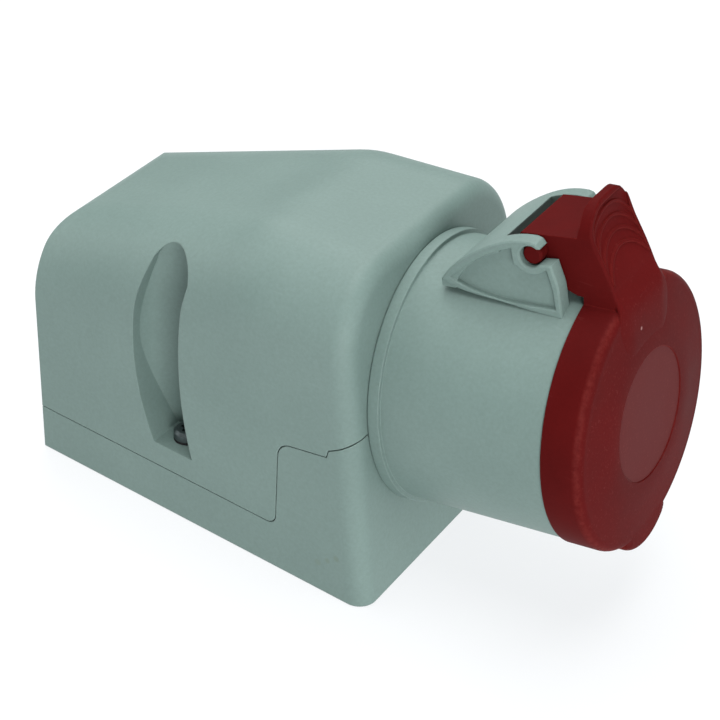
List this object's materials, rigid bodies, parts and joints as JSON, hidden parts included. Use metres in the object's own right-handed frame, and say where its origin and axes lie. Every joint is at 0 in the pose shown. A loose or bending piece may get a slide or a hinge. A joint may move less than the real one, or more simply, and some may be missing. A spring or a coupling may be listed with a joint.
{
  "type": "industrial wall socket",
  "caption": "Wall-mounted round industrial power socket with a sloping two-part housing, side screw pockets and a sprung, hinged, ribbed lid.",
  "frame": {"origin": "on the wall plane, under the point where the socket's axis crosses the line of the housing's front face", "axes": "+Z away from the wall, +X along the housing from the cable entry towards the socket, Y across; the housing is symmetric about Y = 0"},
  "size_m": [0.1713, 0.0892, 0.1143],
  "materials": {
    "housing_plastic": "satin",
    "lid_plastic": "satin",
    "carrier_plastic": "matte",
    "seal_rubber": "matte",
    "contact_brass": "satin",
    "screw_steel": "satin"
  },
  "bodies": {
    "socket": {"base": "housing_plastic", "cover": "housing_plastic", "housing_seal": "seal_rubber", "cover_screws": "screw_steel", "screw_seals": "seal_rubber", "cable_grommet": "seal_rubber", "socket_body": "housing_plastic", "flange_seal": "seal_rubber", "contact_carrier": "carrier_plastic", "terminal_block": "carrier_plastic", "carrier_screws": "screw_steel", "contact_earth": "contact_brass", "contact_n": "contact_brass", "contact_l1": "contact_brass", "contact_l2": "contact_brass", "contact_l3": "contact_brass", "contact_rings": "screw_steel", "terminal_screws": "screw_steel", "hinge_spring": "screw_steel"},
    "lid_body": {"lid": "lid_plastic", "lid_seal": "seal_rubber", "hinge_pin": "lid_plastic"}
  },
  "joints": [
    {"name": "lid_hinge", "type": "hinge", "parent": "socket", "child": "lid_body", "pos_m": [0.02971, 0, 0.10033], "axis": [0, -1, 0], "range_deg": [0, 95], "stiffness_Nm_per_rad": 0.04, "springref_deg": -34.38, "deforming": ["hinge_spring"]}
  ]
}
